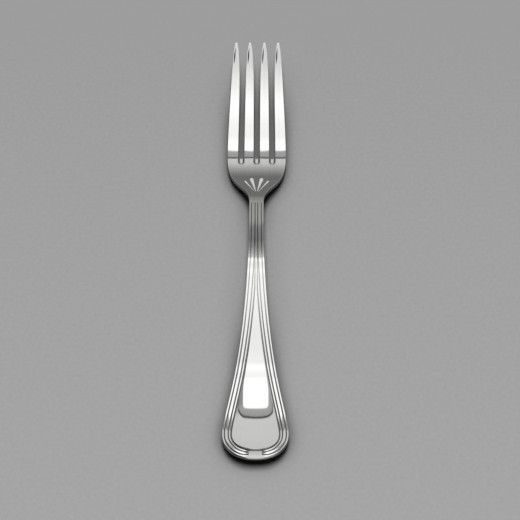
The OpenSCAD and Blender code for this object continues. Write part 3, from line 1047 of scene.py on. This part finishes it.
def table_top():
    mesh = bpy.data.meshes.new("table")
    size = 3.0
    corners = [(-size, -size, 0), (size, -size, 0), (size, size, 0), (-size, size, 0)]
    mesh.from_pydata(corners, [], [(0, 1, 2, 3)])
    table = bpy.data.objects.new("table", mesh)
    bpy.context.scene.collection.objects.link(table)
    material, tree, shader = finish_nodes("table_grey")
    add, put, calc = node_tools(tree)
    shader.inputs["Roughness"].default_value = 0.9
    shader.inputs["Specular IOR Level"].default_value = 0.1
    coords = add("ShaderNodeTexCoord")
    grain = add("ShaderNodeTexNoise")
    grain.inputs["Scale"].default_value = 900.0
    put(grain.inputs["Vector"], coords.outputs["Object"])
    place = add("ShaderNodeSeparateXYZ")
    put(place.inputs[0], coords.outputs["Object"])
    # Painted light: it is a little paler towards the handle's end
    grain_share, change_per_metre = 0.5, -3.0
    speckle = calc("MULTIPLY", grain.outputs["Fac"], grain_share)
    shift = calc("MULTIPLY_ADD", place.outputs["Y"], change_per_metre, speckle, clamp=True)
    tone = add("ShaderNodeMix", data_type="RGBA")
    tone.inputs[6].default_value = (0.315, 0.315, 0.32, 1)
    tone.inputs[7].default_value = (0.425, 0.425, 0.43, 1)
    put(tone.inputs["Factor"], shift)
    # Painted shade: close under the fork, where little light gets in, the table's colour is darkened
    reaches = (3.5 * MM, 6 * MM, 11 * MM)
    steepness, darkest = 1.7, 0.38
    total = 0.0
    for reach in reaches:
        open_share = add("ShaderNodeAmbientOcclusion", samples=12)
        open_share.inputs["Distance"].default_value = reach
        total = calc("ADD", open_share.outputs["AO"], total)
    lit = calc("POWER", calc("DIVIDE", total, float(len(reaches))), steepness)
    lit = calc("MAXIMUM", lit, darkest)
    shaded = add("ShaderNodeVectorMath", operation="SCALE")
    put(shaded.inputs[0], tone.outputs[2])
    put(shaded.inputs["Scale"], lit)
    # The table is pale for the camera and darker in what the steel mirrors
    seen = add("ShaderNodeMix", data_type="RGBA")
    seen.inputs[6].default_value = (0.1, 0.1, 0.1, 1)
    put(seen.inputs[7], shaded.outputs[0])
    put(seen.inputs["Factor"], add("ShaderNodeLightPath").outputs["Is Camera Ray"])
    put(shader.inputs["Base Color"], seen.outputs[2])
    mesh.materials.append(material)


def studio_world():
    """A softbox over the fork as its steel mirrors it, and an even dome for everything else."""
    world = bpy.data.worlds.new("studio")
    bpy.context.scene.world = world
    world.use_nodes = True
    world.cycles.sampling_method = "NONE"
    tree = world.node_tree
    tree.nodes.clear()
    add, put, calc = node_tools(tree)
    coords = add("ShaderNodeTexCoord")
    way = add("ShaderNodeSeparateXYZ")
    put(way.inputs[0], coords.outputs["Generated"])
    x, y, z = way.outputs["X"], way.outputs["Y"], way.outputs["Z"]
    elevation = calc("MULTIPLY", calc("ARCTAN2", z, y), 180 / math.pi)
    sideways = calc("MULTIPLY", calc("ARCSINE", x), 180 / math.pi)
    # Foot and top, half the width and the corners of the softbox, in degrees. Its border counts as
    # narrower to the sides than at the foot.
    low, high, half, corner = 60.0, 130.0, 10.3, 1.5
    narrow = 0.74
    up = calc("ABSOLUTE", calc("SUBTRACT", elevation, (low + high) / 2))
    qx = calc("MULTIPLY_ADD", calc("ABSOLUTE", sideways), narrow, corner - half * narrow)
    qy = calc("SUBTRACT", up, (high - low) / 2 - corner)
    px, py = calc("MAXIMUM", qx, 0.0), calc("MAXIMUM", qy, 0.0)
    outer = calc("SQRT", calc("ADD", calc("MULTIPLY", px, px), calc("MULTIPLY", py, py)))
    inner = calc("MINIMUM", calc("MAXIMUM", qx, qy), 0.0)
    off = calc("SUBTRACT", calc("ADD", outer, inner), corner)

    # Brightness of the softbox along its length, and of the room round it, by elevation
    near = [(0, 1), (64, 1), (67, 0.88), (72, 0.9), (77, 1), (80, 0.98), (83, 0.9), (86.5, 0.78)]
    far = [(89.5, 0.66), (108, 0.58), (122, 0.25), (180, 0.2)]
    box = ramp(tree, elevation, 0, 180, near + far)
    behind = [(90, 0.45), (122, 0.16), (136, 0.4), (165, 0.45), (180, 0.2)]
    ahead = [(0, 0.13), (31, 0.14), (46.5, 0.5), (57, 0.56)]
    room = ramp(tree, elevation, 0, 180, ahead + behind)
    rim = [(0.2, 0.35), (3.0, 0.3), (3.4, 0.06), (3.9, 0.06)]
    frame_mask = ramp(tree, off, -2, 6, [(-2, 1), (-0.2, 1), *rim, (4.3, 0), (6, 0)])
    room_mask = ramp(tree, off, -2, 6, [(-2, 0), (3.9, 0), (4.3, 1), (6, 1)])
    # The room is dark to both sides, and left of the softbox
    sides = [(-90, 0.1), (-45, 0.12), (-25, 1), (35, 1), (60, 0.15), (90, 0.1)]
    aside = ramp(tree, sideways, -90, 90, sides)
    left = ramp(tree, sideways, -90, 90, [(-90, 0.85), (-18, 0.8), (-13, 0), (90, 0)])
    above = ramp(tree, elevation, 0, 180, [(0, 0), (55, 0), (58, 1), (180, 1)])
    shade = calc("SUBTRACT", 1.0, calc("MULTIPLY", left, above))
    room = calc("MULTIPLY", calc("MULTIPLY", room, aside), shade)
    # Its border is darker on that side too
    beside = ramp(tree, sideways, -20, 20, [(-20, 0.6), (-10.6, 0.6), (-10.2, 0), (20, 0)])
    upward = ramp(tree, elevation, 0, 180, [(0, 0), (60, 0), (64, 1), (180, 1)])
    border = calc("SUBTRACT", 1.0, calc("MULTIPLY", beside, upward))
    box = calc("MULTIPLY", calc("MULTIPLY", box, frame_mask), border)
    gain = 1.25
    seen = calc("MULTIPLY", calc("ADD", box, calc("MULTIPLY", room, room_mask)), gain)
    rays = add("ShaderNodeLightPath")
    mirror = add("ShaderNodeBackground")
    put(mirror.inputs["Color"], seen)
    # Past the table's edge the camera sees the same grey as the table
    dome_level, extra_level = 0.02, 0.34
    dome = add("ShaderNodeBackground")
    grey = calc("MULTIPLY_ADD", rays.outputs["Is Camera Ray"], extra_level, dome_level)
    put(dome.inputs["Color"], grey)
    choose = add("ShaderNodeMixShader")
    put(choose.inputs[0], rays.outputs["Is Glossy Ray"])
    put(choose.inputs[1], dome.outputs[0])
    put(choose.inputs[2], mirror.outputs[0])
    out = add("ShaderNodeOutputWorld")
    put(out.inputs["Surface"], choose.outputs[0])


def aim(thing, away, roll=0.0):
    """Turns a light or the camera to look back along a direction."""
    thing.rotation_mode = "QUATERNION"
    thing.rotation_quaternion = away.to_track_quat("Z", "Y") @ Quaternion((0, 0, 1), roll)


def key_light():
    """The softbox as a lamp. The steel mirrors the one in the world instead."""
    light = bpy.data.lights.new("softbox", "AREA")
    light.shape = "RECTANGLE"
    light.size = 1.0
    light.size_y = 1.9
    light.energy = 105.0
    key = bpy.data.objects.new("softbox", light)
    bpy.context.scene.collection.objects.link(key)
    elevation = math.radians(70)
    distance = 3.0
    away = Vector((0, math.cos(elevation), math.sin(elevation)))
    key.location = away * distance
    aim(key, away)
    key.visible_glossy = False


def camera():
    data = bpy.data.cameras.new("camera")
    data.sensor_width = 36.0
    data.lens = 108.69
    view = bpy.data.objects.new("camera", data)
    bpy.context.scene.collection.objects.link(view)
    elevation = math.radians(60)
    distance = 0.5
    away = Vector((0, -math.cos(elevation), math.sin(elevation)))
    target = Vector((1.21 * MM, -7.04 * MM, 4 * MM))
    view.location = target + away * distance
    aim(view, away, math.radians(0.2))
    bpy.context.scene.camera = view


table_top()
studio_world()
key_light()
camera()
bpy.context.scene.view_settings.view_transform = "Standard"
